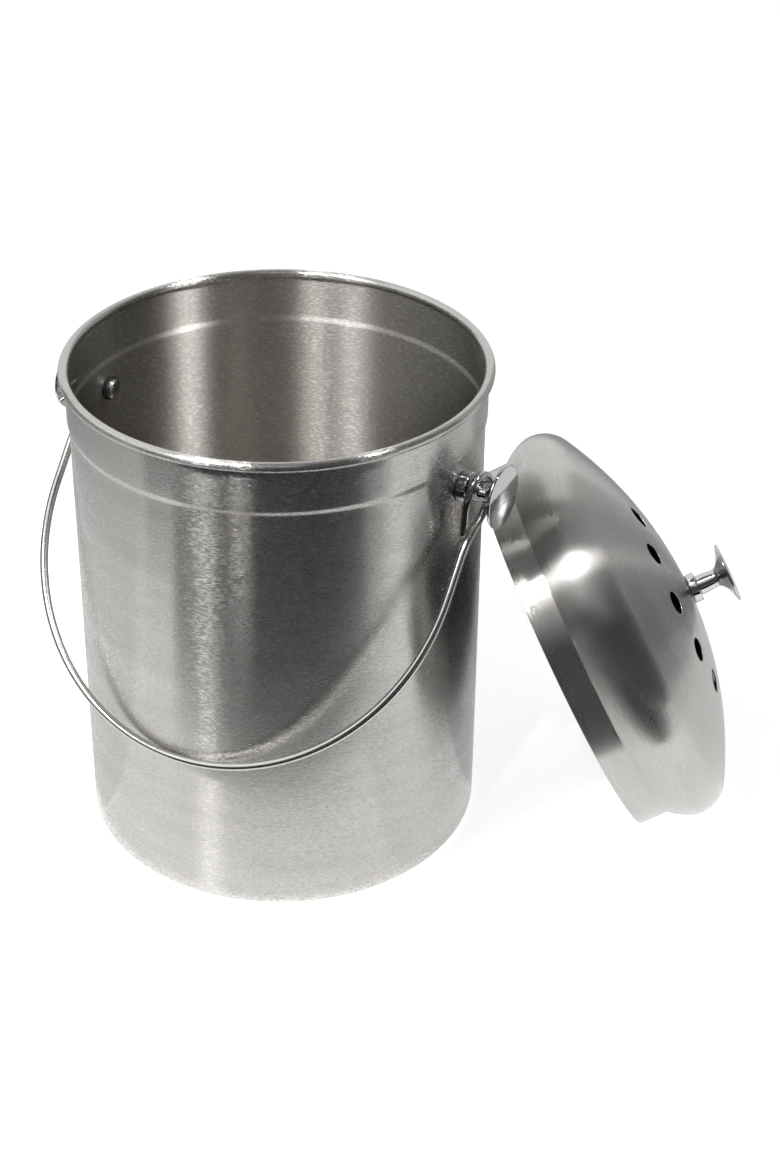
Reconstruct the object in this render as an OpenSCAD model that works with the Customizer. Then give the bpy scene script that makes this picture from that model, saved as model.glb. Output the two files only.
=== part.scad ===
// Kitchen compost caddy: a drawn steel bucket with a swinging wire bail, and a
// lift-off domed lid that carries a charcoal filter and leans on the bucket.
// Millimetres, +Z up. The origin is the middle of the bucket's foot, and the
// bail's studs stand along X.

/* [Bucket] */
// Outer diameter of the wall
bucket_d = 170; // [150:1:190]
// Height from the foot to the top of the rolled rim
bucket_h = 215; // [205:1:240]
// Thickness of the bucket's sheet
sheet_t = 0.7; // [0.5:0.05:1]
// Outer radius of the rounded foot
foot_r = 4; // [2.5:0.25:8]
// Diameter of the stiffening ring pressed into the base
base_ring_d = 110; // [60:1:130]
// Width of the stiffening ring
base_ring_w = 6; // [4:0.5:10]
// Depth of the stiffening ring
base_ring_depth = 0.8; // [0.4:0.1:1.5]
// Distance of the step's middle below the rim
step_drop = 22.7; // [19:0.1:26]
// Height over which the wall steps out
step_h = 3.2; // [2:0.1:5]
// How far the neck stands outside the wall
step_out = 0.8; // [0.4:0.1:1.4]
// Diameter of the rolled rim's section
rim_roll_d = 4.2; // [3.4:0.1:5.5]
// How far the rolled rim stands inside the neck
rim_roll_in = 1.1; // [0.6:0.1:1.4]

/* [Ears] */
// Distance of the ear screws below the rim
ear_drop = 35; // [31:0.5:45]
// Diameter of the collar between the wall and the bail
collar_d = 13.2; // [11:0.1:16]
// Height of the collar
collar_h = 4; // [3:0.1:6]

/* [Knobs] */
// Diameter of a knob's stem
stem_d = 8.8; // [8:0.1:10]
// Diameter of a knob's waist, under the disc
waist_d = 7.8; // [7.2:0.1:8.6]
// Diameter of a knob's disc
disc_d = 26.4; // [20:0.1:32]
// Height of the flare between waist and disc
flare_h = 5.4; // [4:0.1:7]
// Thickness of the disc's edge
disc_edge_t = 1.4; // [0.8:0.1:2]
// How far the disc's front is domed
disc_crown = 0.6; // [0.2:0.1:1.2]

/* [Screws] */
// Diameter of the screws that hold the knobs
screw_d = 4.8; // [3.8:0.1:5.2]
// Diameter of a screw's pan head
screw_head_d = 8.6; // [7.6:0.1:9.4]
// Height of a screw's pan head
screw_head_h = 2.6; // [2:0.1:3.2]
// How far a screw reaches into its knob
screw_grip = 7; // [5:0.5:9]
// Width of the cross recess in a screw's head
recess_w = 4.8; // [4:0.1:6]
// Diameter of the seal under an ear screw's head
seal_d = 10.4; // [9.6:0.1:12]
// Thickness of the seal
seal_t = 0.8; // [0.5:0.1:1.2]

/* [Bail] */
// Diameter of the bail's wire
wire_d = 3.5; // [2.6:0.1:4]
// Slack of the bail's eye between collar and disc
eye_slack = 0.5; // [0.2:0.1:1.5]
// Length of the straight legs below the ear axis
leg_l = 45; // [38:0.5:60]
// Length of the twisted eye below the ear axis
eye_l = 26; // [24:0.5:30]

/* [Lid] */
// Radial play of the lid's skirt in the rim
lid_play = 0.6; // [0.3:0.1:1.2]
// Height of the skirt
skirt_h = 12.3; // [9:0.1:15]
// How far the shoulder stands outside the skirt
shoulder_out = 6.2; // [5:0.1:8]
// Height of the shoulder above the skirt's edge
shoulder_z = 26; // [23:0.1:29]
// Height of the lid from the skirt's edge to the crown
lid_h = 61; // [57:0.5:66]
// Radius of the crown
crown_r = 166; // [160:1:200]
// Thickness of the lid's sheet
lid_t = 0.7; // [0.5:0.05:1]
// Number of vent holes
vent_count = 12; // [8:1:16]
// Diameter of a vent hole
vent_d = 10.2; // [7:0.1:12]
// Diameter of the ring of vent holes
vent_ring_d = 88; // [70:1:92]

/* [Lid at rest] */
// Angle of the lid's axis above the ground
lid_lean = 26.2; // [20:0.1:34]
// Compass direction of the lid's axis, from the right-hand ear
lid_bearing = 35; // [25:0.5:60]
// Angle along the skirt from its highest point to where it touches the wall
lid_roll_off = 5.8; // [0:0.1:8]
// Turn of the lid about its own axis
lid_spin = 28; // [0:1:30]

/* [Filter] */
// Outer diameter of the filter holder's wall
holder_d = 120; // [112:1:126]
// Thickness of the filter holder's walls
holder_t = 2; // [1.4:0.1:2.6]
// Distance of the filter holder's spider below the crown
spider_drop = 16.5; // [15:0.1:18]
// Thickness of the spider
spider_t = 2; // [1.4:0.1:3]
// Width of the spider's arms
spider_arm_w = 7; // [5:0.5:10]
// Diameter of the boss in the middle of the spider
boss_d = 14; // [13:0.1:16]
// Thickness of the charcoal filter
filter_t = 8; // [5:0.5:9]
// Thickness of the twist-off cover's floor
cover_t = 1.8; // [1.2:0.1:2.4]
// Height of the cover's rim
cover_rim_h = 8.5; // [8:0.1:10]
// Width of a bayonet lug, as an angle
lug_angle = 18; // [10:1:26]
// Thickness of a bayonet lug
lug_t = 1.5; // [1:0.1:2]
// Length of the grip bar on the cover
grip_l = 60; // [40:1:80]
// Height of the grip bar
grip_h = 7; // [4:0.5:9]
// Width of the grip bar
grip_w = 4; // [3:0.5:6]
// Diameter of a vent hole in the cover
cover_hole_d = 6; // [4:0.5:8]

/* [Clearances] */
// Gap between pieces that move past each other
run_gap = 0.3; // [0.2:0.05:0.5]
// Radial gap of a screw in its thread
thread_gap = 0.05; // [0.02:0.01:0.1]
// Radial gap of a screw in a clearance hole
hole_gap = 0.2; // [0.1:0.05:0.4]

/* [Hidden] */
$fn = 96;

// bucket
wall_r = bucket_d / 2;
neck_r = wall_r + step_out;
roll_r = rim_roll_d / 2;
roll_x = neck_r - sheet_t - rim_roll_in + roll_r;
roll_z = bucket_h - roll_r;
step_z = bucket_h - step_drop;
ring_slope = 1;
roll_slit = 0.35;
roll_slit_angle = -38;

// bail's eye: how far its front and back strands stand to either side of the leg, in wires
wire_r = wire_d / 2;
eye_front = 0.7;
eye_back = 0.25;

// ears, screws and knobs
ear_z = bucket_h - ear_drop;
collar_edge = 0.5;
knob_edge = disc_edge_t / 2;
stem_l = run_gap + eye_slack + 2 * wire_r + (eye_front + eye_back) * wire_d;
knob_len = stem_l + flare_h + disc_edge_t + disc_crown;
stem_chamfer = 0.4;
seal_seat_x = sqrt(pow(wall_r - sheet_t, 2) - pow(seal_d / 2, 2));
seal_in_x = seal_seat_x - seal_t;
recess_t = 1.1;
recess_depth = screw_head_h * 0.6;
head_round = 1.2;

// bail: its middle is a half circle, and it hangs against the front wall
bail_x = wall_r + collar_h + run_gap + eye_slack + wire_r + eye_front * wire_d;
bail_reach = leg_l + bail_x;
bail_rest = asin((wall_r + wire_r + run_gap) / bail_reach);
eye_r = stem_d / 2 + run_gap + wire_r;
wire_sides = 12;
bend_steps = 28;
eye_steps = 4;

// lid, in its own frame: Z is its axis and the skirt's edge is at zero
skirt_r = roll_x - roll_r - lid_play;
lid_r = skirt_r + shoulder_out;
crown_z = lid_h - crown_r;
shoulder_up = shoulder_z - crown_z;
shoulder_r = (pow(crown_r, 2) - pow(lid_r, 2) - pow(shoulder_up, 2)) / (2 * (crown_r - lid_r));
shoulder_x = lid_r - shoulder_r;
shoulder_end = atan2(shoulder_up, shoulder_x);
flare_pull_x = 2.2;
flare_pull_z = 2.7;
flare_drop = 5.5;

// lid against the wall: the skirt's edge touches the ground and the bucket
touch_r = wall_r + run_gap;
touch_slope = sin(lid_lean) * tan(lid_roll_off);
touch_x = touch_r / sqrt(1 + pow(touch_slope, 2));
lid_out = touch_x + skirt_r * sin(lid_lean) * cos(lid_roll_off);
lid_side = -touch_x * touch_slope - skirt_r * sin(lid_roll_off);
lid_up = skirt_r * cos(lid_lean);

// filter holder
holder_r = holder_d / 2;
spider_z = lid_h - spider_drop;
lug_reach = 1.6;
lug_lift = 2.2;
under_crown = function(r) crown_z + sqrt(pow(crown_r - lid_t, 2) - pow(r, 2));
holder_top = under_crown(holder_r) - run_gap;
holder_low = spider_z - run_gap - filter_t;
boss_top = under_crown(boss_d / 2);
spider_rim_w = 4;
washer_t = 1.2;
split_w = 0.8;
head_room = 0.4;
head_z = spider_z + head_room;
washer_z = head_z + screw_head_h;
cover_z = holder_low - run_gap - cover_t;
cover_in_r = holder_r + lug_reach + 2 * run_gap;
cover_out_r = cover_in_r + holder_t;
lug_z = cover_z + cover_t + lug_lift;
filter_r = holder_r - holder_t - run_gap;
lug_count = 3;
land = 0.5;
clear = cover_hole_d / 2 + land;
cover_rows = 4;
cover_holes = [for (row = [1:cover_rows], i = [0:6 * row - 1])
    let (a = 60 * i / row, r = row * holder_r / (cover_rows + 1), x = r * cos(a), y = r * sin(a))
    if (abs(y) > grip_w / 2 + clear || abs(x) > grip_l / 2 + clear) [x, y]];

// points along an arc, from angle a to angle b
function arc(x, y, r, a, b, n) =
    [for (i = [0:n]) let (q = a + (b - a) * i / n) [x + r * cos(q), y + r * sin(q)]];

// a smooth step from radius r0 at height z0 to radius r1 at height z1
function ease(r0, z0, r1, z1, n) =
    [for (i = [0:n]) [r0 + (r1 - r0) * (1 - cos(180 * i / n)) / 2, z0 + (z1 - z0) * i / n]];

function reversed(p) = [for (i = [len(p) - 1:-1:0]) p[i]];

// a point of a cubic curve
function cubic(p, t) = let (u = 1 - t)
    u * u * u * p[0] + 3 * u * u * t * p[1] + 3 * u * t * t * p[2] + t * t * t * p[3];

// one side of the bucket's sheet, set in from the outside by t
function bucket_side(t) = let (ring = base_ring_d / 2, w = base_ring_w / 2, d = base_ring_depth)
    concat(
        [[0, t], [ring - w - ring_slope, t], [ring - w, t + d], [ring + w, t + d], [ring + w + ring_slope, t]],
        arc(wall_r - foot_r, foot_r, foot_r - t, -90, 0, 8),
        ease(wall_r - t, step_z - step_h / 2, neck_r - t, step_z + step_h / 2, 8),
        [[neck_r - t, roll_z - roll_r + sheet_t / 2]]);

// one side of the lid's sheet, set in from the outside by t
function flare_curve() = [[skirt_r, skirt_h], [skirt_r + flare_pull_x, skirt_h + flare_pull_z],
    [lid_r, shoulder_z - flare_drop], [lid_r, shoulder_z]];
function lid_side_points(t) = let (flare = flare_curve())
    concat(
        [[skirt_r - t, 0], [skirt_r - t, skirt_h]],
        [for (i = [1:9]) cubic(flare, i / 10) - [t, 0]],
        arc(shoulder_x, shoulder_z, shoulder_r - t, 0, shoulder_end, 12),
        arc(0, crown_z, crown_r - t, shoulder_end, 90, 24));

// a smooth curve through points, with n steps between each pair
function spline(p, n) = let (last = len(p) - 1)
    concat([for (i = [0:last - 1], k = [0:n - 1])
        let (a = p[max(i - 1, 0)], b = p[i], c = p[i + 1], d = p[min(i + 2, last)], t = k / n)
        (2 * b + (c - a) * t + (2 * a - 5 * b + 4 * c - d) * t * t + (3 * b - a - 3 * c + d) * t * t * t) / 2],
        [p[last]]);

// the right-hand eye of the bail: X outwards, Y back, Z up, with the leg hanging straight down.
// The wire leaves the leg, climbs the back of the stem, goes over it and comes down
// in front, and its end lies beside the leg, on the wall's side
function eye_points() = concat(
    [[bail_x, 0, -eye_l], [bail_x + 0.1, 0.1 * eye_r, -eye_l * 0.8], [bail_x + 0.3, 0.4 * eye_r, -eye_l * 0.6],
        [bail_x + eye_back * wire_d - 0.1, eye_r * 0.85, -eye_r * 1.05]],
    [for (i = [0:6]) let (a = 95 + 34 * i)
        [bail_x + (eye_back - (eye_front + eye_back) * i / 6) * wire_d, eye_r * sin(a), -eye_r * cos(a)]],
    [[bail_x - 0.85 * wire_d, -eye_r * 0.62, -eye_r * 1.1], [bail_x - wire_d, 0, -eye_l * 0.48],
        [bail_x - wire_d - run_gap / 2, eye_r * 0.6, -eye_l * 0.72]]);

// the right-hand half of the bail, from its lowest point to the end of the eye
bail_half = concat(
    [for (i = [0:bend_steps]) let (a = 90 * i / bend_steps) [bail_x * sin(a), 0, -leg_l - bail_x * cos(a)]],
    spline(eye_points(), eye_steps));
bail_path = concat([for (p = reversed(bail_half)) [-p[0], p[1], p[2]]],
    [for (i = [1:len(bail_half) - 1]) bail_half[i]]);

// a frame carried along a path without twist, and a round wire swept along it
function unit(v) = v / norm(v);
function carried(v, along) = unit(v - (v * along) * along);
function tangent(path, i) = unit(path[min(i + 1, len(path) - 1)] - path[max(i - 1, 0)]);
function frames(path, i, v, out) = i == len(path) ? out :
    let (n = carried(v, tangent(path, i))) frames(path, i + 1, n, concat(out, [n]));

module wire(path) {
    sides = frames(path, 0, [0, 1, 0], []);
    last = len(path) - 1;
    rings = [for (i = [0:last], k = [0:wire_sides - 1])
        let (a = 360 * k / wire_sides, along = tangent(path, i), up = cross(along, sides[i]))
        path[i] + wire_r * (cos(a) * sides[i] + sin(a) * up)];
    walls = [for (i = [0:last - 1], k = [0:wire_sides - 1])
        let (a = i * wire_sides + k, b = i * wire_sides + (k + 1) % wire_sides)
        [a, a + wire_sides, b + wire_sides, b]];
    ends = [[for (k = [0:wire_sides - 1]) k],
        [for (k = [wire_sides - 1:-1:0]) last * wire_sides + k]];
    polyhedron(rings, concat(walls, ends), convexity = 6);
}

// a ring about Z, from height z, with an outer and an inner radius
module ring(outer, inner, h) {
    difference() {
        cylinder(r = outer, h = h);
        translate([0, 0, -1]) cylinder(r = inner, h = h + 2);
    }
}

// a turned collar about Z
module turned_collar() {
    r = collar_d / 2;
    c = collar_edge;
    rotate_extrude() polygon([[screw_d / 2 + hole_gap, 0], [r - c, 0], [r, c], [r, collar_h - c],
        [r - c, collar_h], [screw_d / 2 + hole_gap, collar_h]]);
}

// a turned knob about Z: stem, waist, flare and domed disc, with a blind threaded hole
module turned_knob() {
    stem = stem_d / 2;
    waist = waist_d / 2;
    edge_r = disc_d / 2 - knob_edge;
    edge_z = knob_len - disc_crown - knob_edge;
    waist_z = edge_z - knob_edge - flare_h;
    flare = [[waist, waist_z], [waist, waist_z + flare_h * 0.55],
        [edge_r * 0.72, waist_z + flare_h * 0.82], [edge_r, waist_z + flare_h]];
    difference() {
        rotate_extrude() polygon(concat(
            [[0, 0], [stem - stem_chamfer, 0], [stem, stem_chamfer], [stem, waist_z * 0.45]],
            [for (i = [0:12]) cubic(flare, i / 12)],
            arc(edge_r, edge_z, knob_edge, -75, 90, 8),
            [for (i = [1:8]) let (q = 1 - i / 8) [edge_r * q, knob_len - disc_crown * q * q]]));
        translate([0, 0, -1]) cylinder(d = screw_d + 2 * thread_gap, h = 1 + screw_grip + 1);
    }
}

// a cross-recessed pan-head screw about Z: the head's seat is at zero and the shank points up
module pan_screw(shank) {
    difference() {
        union() {
            cylinder(d = screw_d, h = shank);
            translate([0, 0, -screw_head_h]) rotate_extrude() polygon(concat([[0, 0]],
                arc(screw_head_d / 2 - head_round, head_round, head_round, -90, 0, 6),
                [[screw_head_d / 2, screw_head_h], [0, screw_head_h]]));
        }
        for (a = [0, 90]) rotate(a) translate([-recess_w / 2, -recess_t / 2, -screw_head_h - 1])
            cube([recess_w, recess_t, recess_depth + 1]);
    }
}

// stands a turned piece on the right-hand ear, or on the left-hand one, x from the axis
module at_ear(side, x) {
    translate([side * x, 0, ear_z]) rotate([0, side * 90, 0]) children();
}

// carries a piece from the lid's own frame to where the lid leans on the bucket
module leaning() {
    rotate(lid_bearing) translate([lid_out, lid_side, lid_up])
        rotate([0, 90 - lid_lean, 0]) rotate(lid_spin) children();
}

module bucket() {
    color("silver") difference() {
        union() {
            rotate_extrude() polygon(concat(bucket_side(0), reversed(bucket_side(sheet_t))));
            difference() {
                rotate_extrude() translate([roll_x, roll_z]) circle(r = roll_r);
                rotate_extrude() translate([roll_x, roll_z]) circle(r = roll_r - sheet_t);
                rotate_extrude() translate([roll_x, roll_z]) rotate(roll_slit_angle)
                    translate([0, -roll_slit / 2]) square([2 * roll_r, roll_slit]);
            }
        }
        translate([-2 * wall_r, 0, ear_z]) rotate([0, 90, 0])
            cylinder(d = screw_d + 2 * hole_gap, h = 4 * wall_r);
    }
}

module ear_collar(side) {
    color("gainsboro") at_ear(side, wall_r) turned_collar();
}

module ear_stud(side) {
    color("gainsboro") at_ear(side, wall_r + collar_h) turned_knob();
}

module ear_screw(side) {
    color("lightgray") at_ear(side, seal_in_x) pan_screw(wall_r + collar_h + screw_grip - seal_in_x);
}

module ear_seal(side) {
    color("dimgray") at_ear(side, seal_in_x) ring(seal_d / 2, screw_d / 2 + hole_gap, seal_t);
}

module bail() {
    color("whitesmoke") translate([0, 0, ear_z]) rotate([-bail_rest, 0, 0]) wire(bail_path);
}

module lid_shell() {
    color("silver") leaning() difference() {
        rotate_extrude() polygon(concat(lid_side_points(0), reversed(lid_side_points(lid_t))));
        for (i = [0:vent_count - 1]) rotate(360 * i / vent_count)
            translate([vent_ring_d / 2, 0, shoulder_z]) cylinder(d = vent_d, h = lid_h);
        translate([0, 0, shoulder_z]) cylinder(d = screw_d + 2 * hole_gap, h = lid_h);
    }
}

module knob_collar() {
    color("gainsboro") leaning() translate([0, 0, lid_h]) turned_collar();
}

module lid_knob() {
    color("gainsboro") leaning() translate([0, 0, lid_h + collar_h]) turned_knob();
}

module knob_screw() {
    color("lightgray") leaning() translate([0, 0, washer_z])
        pan_screw(lid_h + collar_h + screw_grip - washer_z);
}

module knob_lock_washer() {
    color("gray") leaning() translate([0, 0, washer_z]) difference() {
        ring(screw_head_d / 2, screw_d / 2 + hole_gap, washer_t);
        rotate(20) translate([0, -split_w / 2, -1]) cube([screw_head_d, split_w, washer_t + 2]);
    }
}

module lugs(outer, inner, z) {
    for (i = [0:lug_count - 1]) rotate(i * 360 / lug_count - lug_angle / 2) translate([0, 0, z])
        rotate_extrude(angle = lug_angle) translate([inner, 0]) square([outer - inner, lug_t]);
}

module filter_holder() {
    color("dimgray") leaning() difference() {
        union() {
            translate([0, 0, holder_low]) ring(holder_r, holder_r - holder_t, holder_top - holder_low);
            translate([0, 0, spider_z])
                ring(holder_r - holder_t / 2, holder_r - holder_t - spider_rim_w, spider_t);
            for (a = [0:90:270]) rotate(a + 45) translate([boss_d / 4, -spider_arm_w / 2, spider_z])
                cube([holder_r - holder_t / 2 - boss_d / 4, spider_arm_w, spider_t]);
            translate([0, 0, spider_z]) cylinder(d = boss_d, h = boss_top - spider_z);
            lugs(holder_r + lug_reach, holder_r - holder_t / 2, lug_z);
        }
        translate([0, 0, spider_z - 1])
            cylinder(d = screw_head_d + 4 * hole_gap, h = washer_z + washer_t - spider_z + 1);
        translate([0, 0, spider_z]) cylinder(d = screw_d + 2 * hole_gap, h = lid_h);
    }
}

module charcoal_filter() {
    color("black") leaning() translate([0, 0, holder_low]) cylinder(r = filter_r, h = filter_t);
}

module filter_cover() {
    color("dimgray") leaning() difference() {
        union() {
            translate([0, 0, cover_z]) cylinder(r = cover_out_r, h = cover_t);
            translate([0, 0, cover_z]) ring(cover_out_r, cover_in_r, cover_rim_h);
            lugs(cover_out_r - holder_t / 2, holder_r + run_gap, lug_z + lug_t + run_gap);
            translate([-grip_l / 2, -grip_w / 2, cover_z - grip_h])
                cube([grip_l, grip_w, grip_h + cover_t / 2]);
        }
        for (p = cover_holes) translate([p[0], p[1], cover_z - 1]) cylinder(d = cover_hole_d, h = cover_t + 2);
    }
}

bucket();
ear_collar(-1);  // ear_collar_left
ear_collar(1);  // ear_collar_right
ear_stud(-1);  // ear_stud_left
ear_stud(1);  // ear_stud_right
ear_screw(-1);  // ear_screw_left
ear_screw(1);  // ear_screw_right
ear_seal(-1);  // ear_seal_left
ear_seal(1);  // ear_seal_right
bail();
lid_shell();
knob_collar();
lid_knob();
knob_screw();
knob_lock_washer();
filter_holder();
charcoal_filter();
filter_cover();
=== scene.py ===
"""The looks of a kitchen compost caddy: a brushed steel bucket with a polished wire bail, and a
lift-off domed lid with vents, a knob and a charcoal filter, which leans on the bucket."""

from __future__ import annotations

import logging
import math
from collections.abc import Callable, Iterable, Sequence
from dataclasses import dataclass, field
from enum import Enum

import bmesh
import bpy
from mathutils import Matrix, Quaternion, Vector

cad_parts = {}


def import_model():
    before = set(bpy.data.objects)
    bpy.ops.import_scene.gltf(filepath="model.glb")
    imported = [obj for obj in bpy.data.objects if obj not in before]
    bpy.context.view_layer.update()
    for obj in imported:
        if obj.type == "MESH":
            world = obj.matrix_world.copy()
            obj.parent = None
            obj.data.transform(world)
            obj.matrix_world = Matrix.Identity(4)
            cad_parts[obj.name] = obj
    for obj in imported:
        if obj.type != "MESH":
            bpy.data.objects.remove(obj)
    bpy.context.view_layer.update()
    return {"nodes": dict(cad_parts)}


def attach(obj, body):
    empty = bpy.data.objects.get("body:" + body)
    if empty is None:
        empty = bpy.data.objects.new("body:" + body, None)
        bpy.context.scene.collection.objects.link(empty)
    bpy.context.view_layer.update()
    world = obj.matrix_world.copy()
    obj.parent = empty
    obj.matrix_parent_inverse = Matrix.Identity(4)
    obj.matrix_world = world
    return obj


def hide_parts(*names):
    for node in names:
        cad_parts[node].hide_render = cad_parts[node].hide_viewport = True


LOG = logging.getLogger("caddy")
MM = 0.001
TINY = 1e-6
TURNED_UV = "turned"
RUN_LAYER = "run"

Point = tuple[float, float]


class Body(Enum):
    """The bodies that new pieces ride on."""

    BUCKET = "body"
    BAIL = "bail"
    LID = "lid"


class Slot(Enum):
    """The record's finishes."""

    BUCKET = "bucket_steel"
    LID = "lid_steel"
    CHROME = "chrome"
    WIRE = "bail_wire"


class Side(Enum):
    """The two ears of the bucket, as the sign of X."""

    LEFT = -1
    RIGHT = 1


# ---------------------------------------------------------------- colours and nodes


def linear(code: str) -> tuple[float, float, float, float]:
    """Turns an sRGB hex colour to linear values.

    Args:
        code: the colour, such as "#c8c7c4".

    Returns:
        Red, green, blue and an alpha of 1.
    """
    shares = [int(code[i : i + 2], 16) / 255 for i in (1, 3, 5)]
    red, green, blue = (
        s / 12.92 if s <= 0.04045 else ((s + 0.055) / 1.055) ** 2.4 for s in shares
    )
    return (red, green, blue, 1.0)


def add_node(
    tree: bpy.types.NodeTree, kind: str, settings: dict[str, object] | None = None, **inputs: object
) -> bpy.types.Node:
    """Adds a node with its settings, values and links.

    Args:
        tree: the node tree to add to.
        kind: the node's type, such as "ShaderNodeTexNoise".
        settings: properties of the node itself.
        inputs: a value or an output socket for each input, by its name with _ for a space, or
            by its place as in i0.

    Returns:
        The new node.
    """
    made = tree.nodes.new(kind)
    for key, value in (settings or {}).items():
        setattr(made, key, value)
    for key, value in inputs.items():
        by_place = key[0] == "i" and key[1:].isdigit()
        socket = made.inputs[int(key[1:]) if by_place else key.replace("_", " ")]
        if isinstance(value, bpy.types.NodeSocket):
            tree.links.new(value, socket)
        else:
            socket.default_value = value
    return made


def new_material(name: str) -> tuple[bpy.types.Material, bpy.types.NodeTree]:
    """Makes an empty node material.

    Args:
        name: the real material's name.

    Returns:
        The material and its node tree.
    """
    material = bpy.data.materials.new(name)
    material.use_nodes = True
    material.node_tree.nodes.clear()
    return material, material.node_tree


def ramp(
    tree: bpy.types.NodeTree, factor: bpy.types.NodeSocket, stops: Sequence[tuple[float, str]]
) -> bpy.types.Node:
    """Adds a colour ramp.

    Args:
        tree: the node tree to add to.
        factor: the socket that drives the ramp.
        stops: a place and an sRGB hex colour for each stop, in order.

    Returns:
        The ramp node.
    """
    made = add_node(tree, "ShaderNodeValToRGB", Fac=factor)
    elements = made.color_ramp.elements
    while len(elements) < len(stops):
        elements.new(0.5)
    for element, (place, code) in zip(elements, stops):
        element.position = place
        element.color = linear(code)
    return made


def spread(
    tree: bpy.types.NodeTree, value: bpy.types.NodeSocket, low: float, high: float
) -> bpy.types.NodeSocket:
    """Spreads a pattern of 0 to 1 over a range.

    Args:
        tree: the node tree to add to.
        value: the pattern's socket.
        low: what 0 becomes.
        high: what 1 becomes.

    Returns:
        The socket with the spread value.
    """
    made = add_node(tree, "ShaderNodeMapRange", Value=value, To_Min=low, To_Max=high)
    return made.outputs[0]


def around(tree: bpy.types.NodeTree, per_turn: float, per_metre: float) -> bpy.types.NodeSocket:
    """Makes coordinates that run round a turned piece without a seam, from its own UV map.

    Args:
        tree: the node tree to add to.
        per_turn: how fast the pattern changes round the axis.
        per_metre: how fast the pattern changes along the profile.

    Returns:
        The socket with the coordinates.
    """
    uv = add_node(tree, "ShaderNodeUVMap", {"uv_map": TURNED_UV})
    parts = add_node(tree, "ShaderNodeSeparateXYZ", Vector=uv.outputs[0])
    angle = add_node(
        tree, "ShaderNodeMath", {"operation": "MULTIPLY"}, i0=parts.outputs[0], i1=2 * math.pi
    )
    cosine = add_node(tree, "ShaderNodeMath", {"operation": "COSINE"}, i0=angle.outputs[0])
    sine = add_node(tree, "ShaderNodeMath", {"operation": "SINE"}, i0=angle.outputs[0])
    joined = add_node(
        tree, "ShaderNodeCombineXYZ", X=cosine.outputs[0], Y=sine.outputs[0], Z=parts.outputs[1]
    )
    scaled = add_node(
        tree,
        "ShaderNodeVectorMath",
        {"operation": "MULTIPLY"},
        i0=joined.outputs[0],
        i1=(per_turn, per_turn, per_metre),
    )
    return scaled.outputs[0]


# ---------------------------------------------------------------- finishes


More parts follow.
